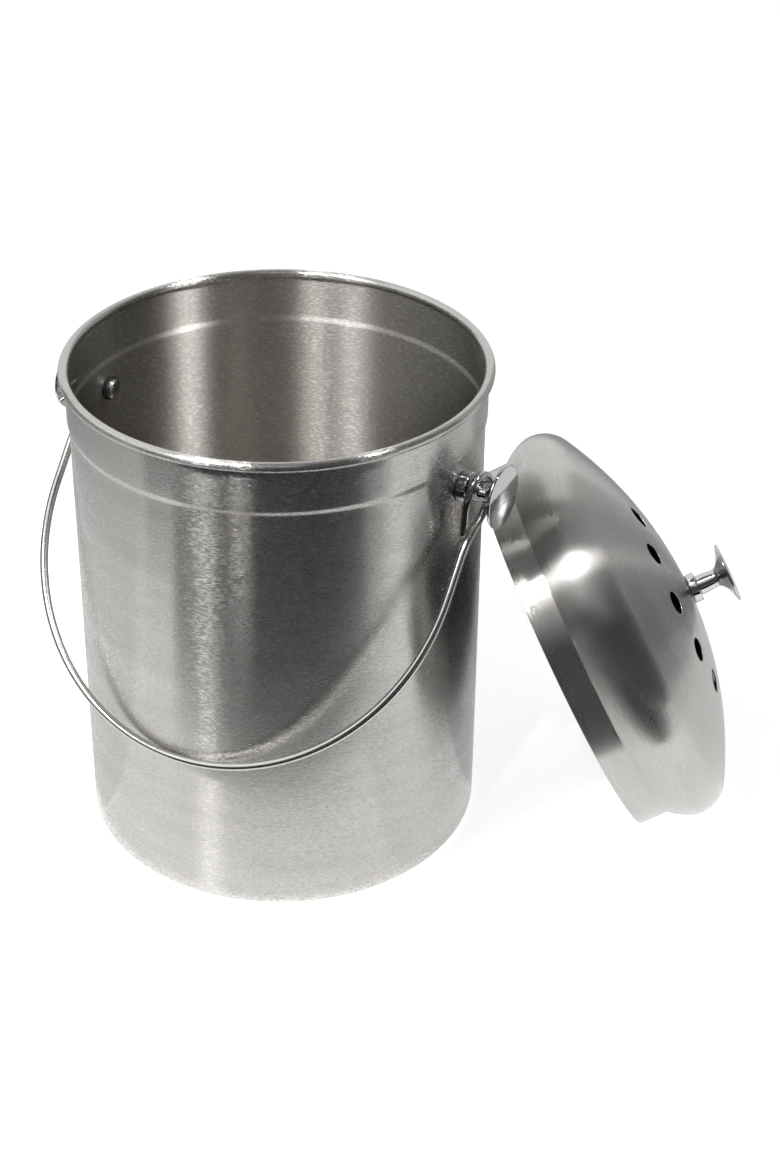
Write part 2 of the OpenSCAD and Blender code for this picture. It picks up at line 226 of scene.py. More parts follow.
@dataclass(frozen=True)
class BrushedSteel:
    """Stainless steel sheet, spun against an abrasive belt: fine lines run round the axis, and
    stretch each reflection across them. The share that smears rises from smear_low to
    smear_high where the noise of the glints rises from glint_start to glint_end."""

    name: str
    colour: str = "#cfcdca"
    shade: str = "#c2c0bd"
    sheen_roughness: float = 0.23
    sheen_stretch: float = 0.85
    smear_roughness: float = 0.43
    smear_stretch: float = 0.755
    smear_low: float = 0.2
    smear_high: float = 0.7
    glint_start: float = 0.48
    glint_end: float = 0.76
    glint_mm: float = 0.4
    glints_per_radius: float = 40.0
    scratch_mm: float = 0.8
    scratches_per_radius: float = 40.0
    scratch_height_mm: float = 0.05
    grit_mm: float = 0.5
    grit_height_mm: float = 0.01
    band_mm: float = 9.0
    bands_per_radius: float = 1.6

    def build(self) -> bpy.types.Material:
        """Makes the material: the burnished sheet gives a clear sheen, and the sides of its fine
        lines smear the lamps far across them. The real lines are about 0.1 mm apart. The single
        scratches, the grit marks and the glints, which are short stretches that smear more, are
        drawn coarser than the real ones, so that they show.

        Returns:
            The material.
        """
        material, tree = new_material(self.name)
        scratch = add_node(
            tree,
            "ShaderNodeTexNoise",
            Vector=around(tree, self.scratches_per_radius, 1 / (self.scratch_mm * MM)),
            Scale=1.0,
            Detail=2.0,
            Roughness=0.6,
        )
        place = add_node(tree, "ShaderNodeTexCoord")
        grit = add_node(
            tree,
            "ShaderNodeTexNoise",
            Vector=place.outputs["Object"],
            Scale=1 / (self.grit_mm * MM),
            Detail=1.0,
        )
        broad = add_node(
            tree,
            "ShaderNodeTexNoise",
            Vector=around(tree, self.bands_per_radius, 1 / (self.band_mm * MM)),
            Scale=1.0,
            Detail=2.0,
        )
        worn = add_node(
            tree,
            "ShaderNodeMath",
            {"operation": "MULTIPLY_ADD"},
            i0=broad.outputs[0],
            i1=1.0,
            i2=scratch.outputs[0],
        )
        wear = add_node(
            tree, "ShaderNodeMapRange", Value=worn.outputs[0], From_Min=0.6, From_Max=1.4
        )
        tint = add_node(
            tree,
            "ShaderNodeMix",
            {"data_type": "RGBA"},
            i0=wear.outputs[0],
            i6=linear(self.colour),
            i7=linear(self.shade),
        )
        lines = add_node(
            tree,
            "ShaderNodeBump",
            Strength=1.0,
            Distance=self.scratch_height_mm * MM,
            Height=scratch.outputs[0],
        )
        marks = add_node(
            tree,
            "ShaderNodeBump",
            Strength=1.0,
            Distance=self.grit_height_mm * MM,
            Height=grit.outputs[0],
            Normal=lines.outputs[0],
        )
        tangent = add_node(
            tree, "ShaderNodeTangent", {"direction_type": "UV_MAP", "uv_map": TURNED_UV}
        )
        rough = self.sheen_roughness
        sheen = add_node(
            tree,
            "ShaderNodeBsdfPrincipled",
            Base_Color=tint.outputs[2],
            Metallic=1.0,
            Roughness=spread(tree, wear.outputs[0], rough * 0.85, rough * 1.15),
            Anisotropic=self.sheen_stretch,
            Anisotropic_Rotation=0.25,
            Normal=marks.outputs[0],
            Tangent=tangent.outputs[0],
        )
        smear = add_node(
            tree,
            "ShaderNodeBsdfAnisotropic",
            {"distribution": "BECKMANN"},
            Color=tint.outputs[2],
            Roughness=self.smear_roughness,
            Anisotropy=self.smear_stretch,
            Normal=marks.outputs[0],
            Tangent=tangent.outputs[0],
        )
        glint = add_node(
            tree,
            "ShaderNodeTexNoise",
            Vector=around(tree, self.glints_per_radius, 1 / (self.glint_mm * MM)),
            Scale=1.0,
            Detail=1.5,
        )
        share = add_node(
            tree,
            "ShaderNodeMapRange",
            Value=glint.outputs[0],
            From_Min=self.glint_start,
            From_Max=self.glint_end,
            To_Min=self.smear_low,
            To_Max=self.smear_high,
        )
        both = add_node(
            tree,
            "ShaderNodeMixShader",
            Fac=share.outputs[0],
            i1=sheen.outputs[0],
            i2=smear.outputs[0],
        )
        add_node(tree, "ShaderNodeOutputMaterial", Surface=both.outputs[0])
        return material


@dataclass(frozen=True)
class Chrome:
    """Chrome plate over turned and buffed metal: a near mirror, with the slow waves that hand
    buffing leaves. With other settings it serves the drawn wire, the zinc plate and the spring
    steel, which are hazier."""

    name: str
    colour: str = "#d3d4d6"
    roughness: float = 0.07
    wave_mm: float = 4.0
    wave_height_mm: float = 0.02
    haze_mm: float = 1.1

    def build(self) -> bpy.types.Material:
        """Makes the material.

        Returns:
            The material.
        """
        material, tree = new_material(self.name)
        place = add_node(tree, "ShaderNodeTexCoord")
        wave = add_node(
            tree,
            "ShaderNodeTexNoise",
            Vector=place.outputs["Object"],
            Scale=1 / (self.wave_mm * MM),
            Detail=1.0,
        )
        haze = add_node(
            tree,
            "ShaderNodeTexNoise",
            Vector=place.outputs["Object"],
            Scale=1 / (self.haze_mm * MM),
            Detail=4.0,
        )
        rough = spread(tree, haze.outputs[0], self.roughness * 0.5, self.roughness * 1.7)
        bump = add_node(
            tree,
            "ShaderNodeBump",
            Strength=1.0,
            Distance=self.wave_height_mm * MM,
            Height=wave.outputs[0],
        )
        shader = add_node(
            tree,
            "ShaderNodeBsdfPrincipled",
            Base_Color=linear(self.colour),
            Metallic=1.0,
            Roughness=rough,
            Normal=bump.outputs[0],
        )
        add_node(tree, "ShaderNodeOutputMaterial", Surface=shader.outputs[0])
        return material


@dataclass(frozen=True)
class MouldedPlastic:
    """Black polypropylene, moulded in a spark-eroded tool: a low sheen on a fine even grain."""

    name: str
    colour: str = "#17181a"
    cloud: str = "#202123"
    cloud_mm: float = 12.0
    roughness: float = 0.5
    uneven: float = 0.06
    grain_mm: float = 0.35
    grain_height_mm: float = 0.03

    def build(self) -> bpy.types.Material:
        """Makes the material.

        Returns:
            The material.
        """
        material, tree = new_material(self.name)
        place = add_node(tree, "ShaderNodeTexCoord")
        grain = add_node(
            tree,
            "ShaderNodeTexVoronoi",
            {"feature": "SMOOTH_F1"},
            Vector=place.outputs["Object"],
            Scale=1 / (self.grain_mm * MM),
        )
        cloud = add_node(
            tree,
            "ShaderNodeTexNoise",
            Vector=place.outputs["Object"],
            Scale=1 / (self.cloud_mm * MM),
            Detail=2.0,
        )
        bump = add_node(
            tree,
            "ShaderNodeBump",
            Strength=0.6,
            Distance=self.grain_height_mm * MM,
            Height=grain.outputs[0],
        )
        tint = ramp(tree, cloud.outputs[0], [(0.3, self.colour), (0.7, self.cloud)])
        low, high = self.roughness - self.uneven, self.roughness + self.uneven
        shader = add_node(
            tree,
            "ShaderNodeBsdfPrincipled",
            Base_Color=tint.outputs[0],
            Roughness=spread(tree, cloud.outputs[0], low, high),
            IOR=1.49,
            Normal=bump.outputs[0],
        )
        add_node(tree, "ShaderNodeOutputMaterial", Surface=shader.outputs[0])
        return material


@dataclass(frozen=True)
class CharcoalFelt:
    """Needled polyester felt, filled with activated charcoal: matte black, with crossing
    fibres."""

    name: str
    colour: str = "#0d0d0e"
    fibre: str = "#2b2b2c"
    fibre_mm: float = 0.7
    fibre_height_mm: float = 0.25

    def build(self) -> bpy.types.Material:
        """Makes the material. The real fibres are about 0.03 mm thick and are drawn coarser.

        Returns:
            The material.
        """
        material, tree = new_material(self.name)
        place = add_node(tree, "ShaderNodeTexCoord")
        web = add_node(
            tree,
            "ShaderNodeTexNoise",
            Vector=place.outputs["Object"],
            Scale=1 / (self.fibre_mm * MM),
            Detail=6.0,
            Roughness=0.75,
            Distortion=2.5,
        )
        tint = ramp(tree, web.outputs[0], [(0.42, self.colour), (0.62, self.fibre)])
        bump = add_node(
            tree,
            "ShaderNodeBump",
            Strength=0.9,
            Distance=self.fibre_height_mm * MM,
            Height=web.outputs[0],
        )
        shader = add_node(
            tree,
            "ShaderNodeBsdfPrincipled",
            Base_Color=tint.outputs[0],
            Roughness=spread(tree, web.outputs[0], 1.0, 0.85),
            Sheen_Weight=0.25,
            Sheen_Roughness=0.5,
            Normal=bump.outputs[0],
        )
        add_node(tree, "ShaderNodeOutputMaterial", Surface=shader.outputs[0])
        return material


@dataclass(frozen=True)
class Rubber:
    """Nitrile rubber, punched from sheet: matte black with a faint bloom."""

    name: str
    colour: str = "#131313"
    bloom: str = "#262625"
    bloom_mm: float = 1.5
    bloom_height_mm: float = 0.05
    roughness: float = 0.75

    def build(self) -> bpy.types.Material:
        """Makes the material.

        Returns:
            The material.
        """
        material, tree = new_material(self.name)
        place = add_node(tree, "ShaderNodeTexCoord")
        bloom = add_node(
            tree,
            "ShaderNodeTexNoise",
            Vector=place.outputs["Object"],
            Scale=1 / (self.bloom_mm * MM),
            Detail=5.0,
        )
        tint = ramp(tree, bloom.outputs[0], [(0.35, self.colour), (0.75, self.bloom)])
        bump = add_node(
            tree,
            "ShaderNodeBump",
            Strength=0.5,
            Distance=self.bloom_height_mm * MM,
            Height=bloom.outputs[0],
        )
        shader = add_node(
            tree,
            "ShaderNodeBsdfPrincipled",
            Base_Color=tint.outputs[0],
            Roughness=spread(tree, bloom.outputs[0], self.roughness, self.roughness + 0.15),
            Normal=bump.outputs[0],
        )
        add_node(tree, "ShaderNodeOutputMaterial", Surface=shader.outputs[0])
        return material


@dataclass(frozen=True)
class Finishes:
    """Every finish of the caddy, made once."""

    steel: bpy.types.Material = field(
        default_factory=lambda: BrushedSteel("stainless steel, belt brushed outside").build()
    )
    inner_steel: bpy.types.Material = field(
        default_factory=lambda: BrushedSteel(
            "stainless steel, mop polished inside",
            # Painted light: this colour and shade are a little warmer than the outside's. The extra
            # warmth is a painted tint that stands in for light bounced round inside the bucket.
            colour="#d0cdc8",
            shade="#c3c0bb",
            smear_roughness=0.46,
            smear_stretch=0.68,
            smear_low=0.5,
            smear_high=1.0,
        ).build()
    )
    lid_steel: bpy.types.Material = field(
        default_factory=lambda: BrushedSteel(
            "stainless steel, brushed on the spinning lathe",
            sheen_roughness=0.29,
            sheen_stretch=1.0,
            smear_roughness=0.4,
            smear_stretch=0.8,
            smear_low=0.12,
            smear_high=0.4,
            glints_per_radius=8.0,
            scratches_per_radius=10.0,
            scratch_height_mm=0.02,
        ).build()
    )
    chrome: bpy.types.Material = field(
        default_factory=lambda: Chrome("chrome-plated zinc, buffed").build()
    )
    wire: bpy.types.Material = field(
        default_factory=lambda: Chrome(
            "stainless wire, drawn and polished", "#c4c3c0", 0.16, 1.6, 0.01
        ).build()
    )
    zinc: bpy.types.Material = field(
        default_factory=lambda: Chrome(
            "bright zinc-plated steel", "#c9cacb", 0.22, 1.2, 0.02
        ).build()
    )
    spring: bpy.types.Material = field(
        default_factory=lambda: Chrome("oiled spring steel", "#8a8987", 0.3, 1.0, 0.02).build()
    )
    plastic: bpy.types.Material = field(
        default_factory=lambda: MouldedPlastic("polypropylene, moulded black").build()
    )
    felt: bpy.types.Material = field(
        default_factory=lambda: CharcoalFelt("needled charcoal felt").build()
    )
    rubber: bpy.types.Material = field(
        default_factory=lambda: Rubber("nitrile rubber, punched").build()
    )


# ---------------------------------------------------------------- mesh building


def arc(x: float, y: float, radius: float, start: float, end: float, steps: int) -> list[Point]:
    """Points along an arc of a profile.

    Args:
        x: the centre's distance from the axis.
        y: the centre's height.
        radius: the arc's radius.
        start: the first angle, in degrees.
        end: the last angle, in degrees.
        steps: the number of steps.

    Returns:
        The points, as radius and height.
    """
    angles = [math.radians(start + (end - start) * i / steps) for i in range(steps + 1)]
    return [(x + radius * math.cos(a), y + radius * math.sin(a)) for a in angles]


def ease(start: Point, end: Point, steps: int) -> list[Point]:
    """Points along a smooth step of a profile.

    Args:
        start: the first point, as radius and height.
        end: the last point.
        steps: the number of steps.

    Returns:
        The points.
    """
    shares = [i / steps for i in range(steps + 1)]
    wide, tall = end[0] - start[0], end[1] - start[1]
    return [
        (start[0] + wide * (1 - math.cos(math.pi * s)) / 2, start[1] + tall * s) for s in shares
    ]


def cubic(a: Point, b: Point, c: Point, d: Point, steps: int) -> list[Point]:
    """Points along a cubic curve of a profile.

    Args:
        a: the first point.
        b: the first pull.
        c: the second pull.
        d: the last point.
        steps: the number of steps.

    Returns:
        The points.
    """
    made = []
    for i in range(steps + 1):
        t = i / steps
        u = 1 - t
        shares = (u**3, 3 * u * u * t, 3 * u * t * t, t**3)
        made.append(tuple(sum(s * p[k] for s, p in zip(shares, (a, b, c, d))) for k in (0, 1)))
    return made


def spin_profile(bm: bmesh.types.BMesh, profile: Sequence[Point], steps: int) -> None:
    """Turns a profile about Z, and keeps each point's distance along it in a layer.

    Args:
        bm: the mesh to add to.
        profile: radius and height of each point, in millimetres.
        steps: the number of steps round the axis.
    """
    layer = bm.verts.layers.float.get(RUN_LAYER) or bm.verts.layers.float.new(RUN_LAYER)
    run = 0.0
    verts: list[bmesh.types.BMVert] = []
    for radius, height in profile:
        vert = bm.verts.new((radius * MM, 0, height * MM))
        if verts:
            run += (vert.co - verts[-1].co).length
        vert[layer] = run
        verts.append(vert)
    edges = [bm.edges.new(pair) for pair in zip(verts, verts[1:])]
    bmesh.ops.spin(
        bm,
        geom=verts + edges,
        cent=(0, 0, 0),
        axis=(0, 0, 1),
        angle=2 * math.pi,
        steps=steps,
        use_merge=True,
    )
    bmesh.ops.remove_doubles(bm, verts=bm.verts[:], dist=TINY)


def map_turned(bm: bmesh.types.BMesh) -> None:
    """Gives a piece turned about Z its UV map: U is the share of a turn, V the distance along
    the profile in metres.

    Args:
        bm: the mesh, with its run layer.
    """
    run = bm.verts.layers.float[RUN_LAYER]
    uv = bm.loops.layers.uv.new(TURNED_UV)
    for face in bm.faces:
        middle = face.calc_center_median()
        home = math.atan2(middle.y, middle.x)
        for loop in face.loops:
            co = loop.vert.co
            angle = home if math.hypot(co.x, co.y) < TINY else math.atan2(co.y, co.x)
            angle += 2 * math.pi * round((home - angle) / (2 * math.pi))
            loop[uv].uv = (angle / (2 * math.pi), loop.vert[run])


def finish_mesh(
    name: str, bm: bmesh.types.BMesh, place: Matrix, material: bpy.types.Material, sharp: float = 38
) -> bpy.types.Object:
    """Turns a bmesh into an object at the origin, with its place in its mesh.

    Args:
        name: the piece's name.
        bm: the mesh, which is freed.
        place: the matrix that carries it to its place.
        material: its material.
        sharp: edges that bend by more than this angle, in degrees, stay sharp.

    Returns:
        The object.
    """
    bmesh.ops.transform(bm, matrix=place, space=Matrix.Identity(4), verts=bm.verts[:])
    mesh = bpy.data.meshes.new(name)
    bm.to_mesh(mesh)
    bm.free()
    mesh.polygons.foreach_set("use_smooth", [True] * len(mesh.polygons))
    mesh.set_sharp_from_angle(angle=math.radians(sharp))
    mesh.materials.append(material)
    made = bpy.data.objects.new(name, mesh)
    bpy.context.scene.collection.objects.link(made)
    return made


def turned(
    name: str, profile: Sequence[Point], steps: int, place: Matrix, material: bpy.types.Material
) -> bpy.types.Object:
    """Makes a closed turned piece from its profile.

    Args:
        name: the piece's name.
        profile: radius and height of each point, in millimetres.
        steps: the number of steps round the axis.
        place: the matrix that carries it to its place.
        material: its material.

    Returns:
        The object.
    """
    bm = bmesh.new()
    spin_profile(bm, profile, steps)
    bmesh.ops.recalc_face_normals(bm, faces=bm.faces[:])
    map_turned(bm)
    return finish_mesh(name, bm, place, material)


def keep(piece: bpy.types.Object, body: Body, slot: Slot, *nodes: str) -> bpy.types.Object:
    """Says what a piece rides on and what it stands for.

    Args:
        piece: the piece.
        body: the body that carries it.
        slot: its finish in the record; not used.
        nodes: the solids that it replaces.

    Returns:
        The piece.
    """
    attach(piece, body.value)
    if nodes:
        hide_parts(*nodes)
    LOG.info("%s rides on %s: %d faces", piece.name, body.value, len(piece.data.polygons))
    return piece


def dress(frame: dict, node: str, material: bpy.types.Material) -> None:
    """Gives a solid that stays its material.

    Args:
        frame: what the frame's load returned.
        node: the solid's name.
        material: the material.
    """
    mesh = frame["nodes"][node].data
    mesh.materials.clear()
    mesh.materials.append(material)
    LOG.info("%s stays, in %s", node, material.name)


# ---------------------------------------------------------------- the bucket


@dataclass
class Bucket:
    """The drawn bucket with its rolled rim, pulled in a little where the ears are screwed on.
    Lengths are in millimetres and angles in degrees. The rows are where the mesh has its rings:
    radii on the base and heights elsewhere, closer together round the ears."""

    steel: bpy.types.Material
    inner_steel: bpy.types.Material
    wall_r: float = 85.0
    height: float = 215.0
    sheet: float = 0.7
    foot_r: float = 4.0
    ring_r: float = 55.0
    ring_w: float = 3.0
    ring_slope: float = 2.0
    ring_depth: float = 0.8
    step_z: float = 192.3
    step_h: float = 3.2
    neck_r: float = 85.8
    roll_r: float = 2.1
    roll_x: float = 86.1
    slit_angle: float = -38.0
    ear_z: float = 180.0
    dimple: float = 0.22
    dimple_r: float = 9.0
    base_rows: tuple[float, ...] = (0, 12, 24, 36)
    wall_rows: tuple[float, ...] = (10, 25, 50, 75, 100, 125, 145)
    ear_rows: range = range(158, 188, 2)
    neck_rows: tuple[float, ...] = (198, 204, 208)
    steps: int = 256

    def side(self, inset: float) -> list[Point]:
        """One side of the sheet, from the middle of the base to the neck.

        Args:
            inset: how far the side lies inside the outer one.

        Returns:
            The profile's points.
        """
        wall = self.wall_r - inset
        neck = self.neck_r - inset
        deep = inset + self.ring_depth
        inner, outer = self.ring_r - self.ring_w, self.ring_r + self.ring_w
        base = [(r, inset) for r in (*self.base_rows, inner - self.ring_slope)]
        pressed = ease(base[-1], (inner, deep), 5)[1:]
        pressed += [(x, y) for y, x in ease((deep, outer), (inset, outer + self.ring_slope), 5)]
        foot = arc(self.wall_r - self.foot_r, self.foot_r, self.foot_r - inset, -90, 0, 14)
        rows = [(wall, z) for z in (*self.wall_rows, *self.ear_rows)]
        low, high = self.step_z - self.step_h / 2, self.step_z + self.step_h / 2
        step = ease((wall, low), (neck, high), 12)
        return base + pressed + foot + rows + step + [(neck, z) for z in self.neck_rows]

    def bead(self) -> list[Point]:
        """The rolled rim, from the outside of the neck over the top to its inside, with the
        fine gap where the sheet's edge ends.

        Returns:
            The profile's points.
        """
        x, r, slit = self.roll_x, self.roll_r, self.slit_angle
        z = self.height - r
        start = -math.degrees(math.acos((self.neck_r - x) / r))
        end = 360 - math.degrees(math.acos((self.neck_r - self.sheet - x) / r))
        under = arc(x, z, r, start, slit - 5, 6)
        gap = arc(x, z, r - self.sheet * 0.6, slit - 4, slit + 2, 1)
        over = arc(x, z, r, slit + 4, end, 34)
        return under + gap + over

    def pull_in(self, bm: bmesh.types.BMesh) -> None:
        """Pulls the wall in a little round each ear, as the tightened screw does.

        Args:
            bm: the bucket's mesh, in place.
        """
        for side in Side:
            ear = Vector((side.value * self.wall_r * MM, 0, self.ear_z * MM))
            for vert in bm.verts:
                away = (vert.co - ear).length / MM
                if away < 4 * self.dimple_r:
                    share = math.exp(-((away / self.dimple_r) ** 2))
                    vert.co.x -= side.value * self.dimple * MM * share

    def build(self) -> None:
        """Builds the bucket and dresses it."""
        bm = bmesh.new()
        outside = self.side(0) + self.bead()
        spin_profile(bm, outside + self.side(self.sheet)[::-1], self.steps)
        bmesh.ops.recalc_face_normals(bm, faces=bm.faces[:])
        map_turned(bm)
        rim = sum(math.dist(a, b) for a, b in zip(outside, outside[1:])) * MM
        run = bm.verts.layers.float[RUN_LAYER]
        for face in bm.faces:
            face.material_index = int(min(v[run] for v in face.verts) > rim - TINY)
        self.pull_in(bm)
        shell = finish_mesh("bucket_drawn_steel", bm, Matrix.Identity(4), self.steel)
        # The inside takes the steel whose colour holds a painted warm tint of bounced light.
        shell.data.materials.append(self.inner_steel)
        keep(shell, Body.BUCKET, Slot.BUCKET, "bucket")


# ---------------------------------------------------------------- knobs, collars and screws


@dataclass
class TurnedKnob:
    """A mushroom knob on its collar, as both ears and the lid have it. Lengths are in
    millimetres, and Z is the knob's own axis."""

    chrome: bpy.types.Material
    collar_r: float = 6.6
    collar_h: float = 4.0
    collar_edge: float = 0.5
    bore_r: float = 2.6
    stem_r: float = 4.4
    stem_edge: float = 0.4
    stem_l: float = 7.625
    waist_r: float = 3.9
    disc_r: float = 13.2
    flare_h: float = 5.4
    edge_t: float = 1.4
    crown: float = 0.6
    steps: int = 96

    def collar_profile(self) -> list[Point]:
        """The collar's closed profile.

        Returns:
            The profile's points.
        """
        r, h, e = self.collar_r, self.collar_h, self.collar_edge
        outside = arc(r - e, e, e, -90, 0, 4) + arc(r - e, h - e, e, 0, 90, 4)
        return [(self.bore_r, 0), *outside, (self.bore_r, h), (self.bore_r, 0)]

    def knob_profile(self) -> list[Point]:
        """The knob's profile, from the middle of the stem's foot to the middle of the disc.

        Returns:
            The profile's points.
        """
        half = self.edge_t / 2
        edge_r = self.disc_r - half
        top = self.stem_l + self.flare_h + self.edge_t
        foot = [(0, 0), (self.stem_r - self.stem_edge, 0), (self.stem_r, self.stem_edge)]
        stem = [*foot, (self.stem_r, self.stem_l * 0.45)]
        flare = cubic(
            (self.waist_r, self.stem_l),
            (self.waist_r, self.stem_l + self.flare_h * 0.55),
            (edge_r * 0.72, self.stem_l + self.flare_h * 0.82),
            (edge_r, self.stem_l + self.flare_h),
            20,
        )
        edge = arc(edge_r, top - half, half, -75, 90, 12)
        shares = (0.97, 0.9, 0.8, 0.65, 0.5, 0.35, 0.2, 0.08, 0)
        front = [(edge_r * q, top + self.crown * (1 - q * q)) for q in shares]
        return stem + flare + edge + front

    def build(self, name: str, place: Matrix, body: Body, collar_node: str, knob_node: str) -> None:
        """Builds a collar and its knob.

        Args:
            name: the start of the pieces' names.
            place: the matrix that carries the collar's foot to its place.
            body: the body that carries them.
            collar_node: the solid that the collar replaces.
            knob_node: the solid that the knob replaces.
        """
        collar = turned(
            f"{name}_collar_turned", self.collar_profile(), self.steps, place, self.chrome
        )
        keep(collar, body, Slot.CHROME, collar_node)
        lifted = place @ Matrix.Translation((0, 0, self.collar_h * MM))
        knob = turned(f"{name}_knob_turned", self.knob_profile(), self.steps, lifted, self.chrome)
        keep(knob, body, Slot.CHROME, knob_node)


# ---------------------------------------------------------------- the bail


@dataclass
class Bail:
    """The wire bail with a twisted eye at each end, hanging against the front wall. Lengths
    are in millimetres."""

    wire: bpy.types.Material
    ear_z: float
    wall_r: float
    wire_d: float = 3.5
    end_round: float = 0.45
    bail_x: float = 94.0
    leg_l: float = 45.0
    eye_l: float = 26.0
    eye_r: float = 6.45
    eye_front: float = 0.7
    eye_back: float = 0.25
    run_gap: float = 0.3
    hook_start: float = 95.0
    hook_turn: float = 34.0
    hook_steps: int = 6
    bend_steps: int = 84
    eye_steps: int = 9
    sides: int = 20

    def eye(self) -> list[Vector]:
        """The points that the right-hand eye passes through, with its leg hanging straight
        down from the ear's axis.

        Returns:
            The points, from the leg to the wire's end.
        """
        d, r, x, front, back = self.wire_d, self.eye_r, self.bail_x, self.eye_front, self.eye_back
        leg = [
            (x, 0, -self.eye_l),
            (x + 0.1, 0.1 * r, -self.eye_l * 0.8),
            (x + 0.3, 0.4 * r, -self.eye_l * 0.6),
            (x + back * d - 0.1, r * 0.85, -r * 1.05),
        ]
        hook = []
        for i in range(self.hook_steps + 1):
            angle = math.radians(self.hook_start + self.hook_turn * i)
            out = back - (front + back) * i / self.hook_steps
            hook.append((x + out * d, r * math.sin(angle), -r * math.cos(angle)))
        tail = [
            (x - 0.85 * d, -r * 0.62, -r * 1.1),
            (x - d, 0, -self.eye_l * 0.48),
            (x - d - self.run_gap / 2, r * 0.6, -self.eye_l * 0.72),
        ]
        return [Vector(p) for p in leg + hook + tail]

    def smooth(self, points: Sequence[Vector]) -> list[Vector]:
        """Runs a smooth curve through points.

        Args:
            points: the points.

        Returns:
            The curve's points.
        """
        made = []
        last = len(points) - 1
        for i in range(last):
            a, b, c, d = points[max(i - 1, 0)], points[i], points[i + 1], points[min(i + 2, last)]
            for k in range(self.eye_steps):
                t = k / self.eye_steps
                square = (2 * a - 5 * b + 4 * c - d) * t * t
                cube = (3 * b - a - 3 * c + d) * t**3
                made.append((2 * b + (c - a) * t + square + cube) / 2)
        return [*made, points[last]]

    def path(self) -> list[Vector]:
        """The wire's middle line, from the left-hand end to the right-hand end.

        Returns:
            The line's points.
        """
        x, leg = self.bail_x, self.leg_l
        quarter = [math.pi / 2 * i / self.bend_steps for i in range(self.bend_steps + 1)]
        bend = [Vector((x * math.sin(a), 0, -leg - x * math.cos(a))) for a in quarter]
        half = bend + self.smooth(self.eye())
        return [Vector((-p.x, p.y, p.z)) for p in reversed(half)] + half[1:]

    def sweep(self, bm: bmesh.types.BMesh, path: Sequence[Vector]) -> None:
        """Draws the round wire along its middle line, and fills and rounds its ends.

        Args:
            bm: the mesh to add to.
            path: the middle line, in millimetres.
        """
        points = [p * MM for p in path]
        last = len(points) - 1
        tangents = [
            (points[min(i + 1, last)] - points[max(i - 1, 0)]).normalized() for i in range(last + 1)
        ]
        across = tangents[0].to_track_quat("Z", "Y").to_matrix().to_4x4()
        ring = bmesh.ops.create_circle(
            bm,
            segments=self.sides,
            radius=self.wire_d / 2 * MM,
            matrix=Matrix.Translation(points[0]) @ across,
        )
        edges = list({e for v in ring["verts"] for e in v.link_edges})
        first = edges
        for i in range(last):
            made = bmesh.ops.extrude_edge_only(bm, edges=edges)["geom"]
            verts = [g for g in made if isinstance(g, bmesh.types.BMVert)]
            fresh = set(verts)
            edges = [g for g in made if isinstance(g, bmesh.types.BMEdge) and set(g.verts) <= fresh]
            turn = tangents[i].rotation_difference(tangents[i + 1]).to_matrix()
            bmesh.ops.rotate(bm, cent=points[i], matrix=turn, verts=verts)
            bmesh.ops.translate(bm, vec=points[i + 1] - points[i], verts=verts)
        caps = [bm.faces.new(self.in_order(loop)) for loop in (first, edges)]
        bmesh.ops.recalc_face_normals(bm, faces=bm.faces[:])
        rims = list({e for cap in caps for e in cap.edges})
        bmesh.ops.bevel(
            bm,
            geom=rims,
            offset=self.end_round * MM,
            segments=3,
            profile=0.5,
            affect="EDGES",
            material=-1,
            clamp_overlap=True,
        )

    @staticmethod
    def in_order(edges: Iterable[bmesh.types.BMEdge]) -> list[bmesh.types.BMVert]:
        """Walks round a closed loop of edges.

        Args:
            edges: the loop's edges.

        Returns:
            The loop's vertices in order.
        """
        left = set(edges)
        edge = left.pop()
        walk = [edge.verts[0], edge.verts[1]]
        while left:
            edge = next(e for e in walk[-1].link_edges if e in left)
            left.remove(edge)
            walk.append(edge.other_vert(walk[-1]))
        return walk[:-1]

    def build(self) -> None:
        """Builds the bail and dresses it."""
        bm = bmesh.new()
        self.sweep(bm, self.path())
        reach = self.leg_l + self.bail_x
        rest = math.asin((self.wall_r + self.wire_d / 2 + self.run_gap) / reach)
        place = Matrix.Translation((0, 0, self.ear_z * MM)) @ Matrix.Rotation(-rest, 4, "X")
        bail = finish_mesh("bail_polished_wire", bm, place, self.wire)
        keep(bail, Body.BAIL, Slot.WIRE, "bail")


# ---------------------------------------------------------------- the lid


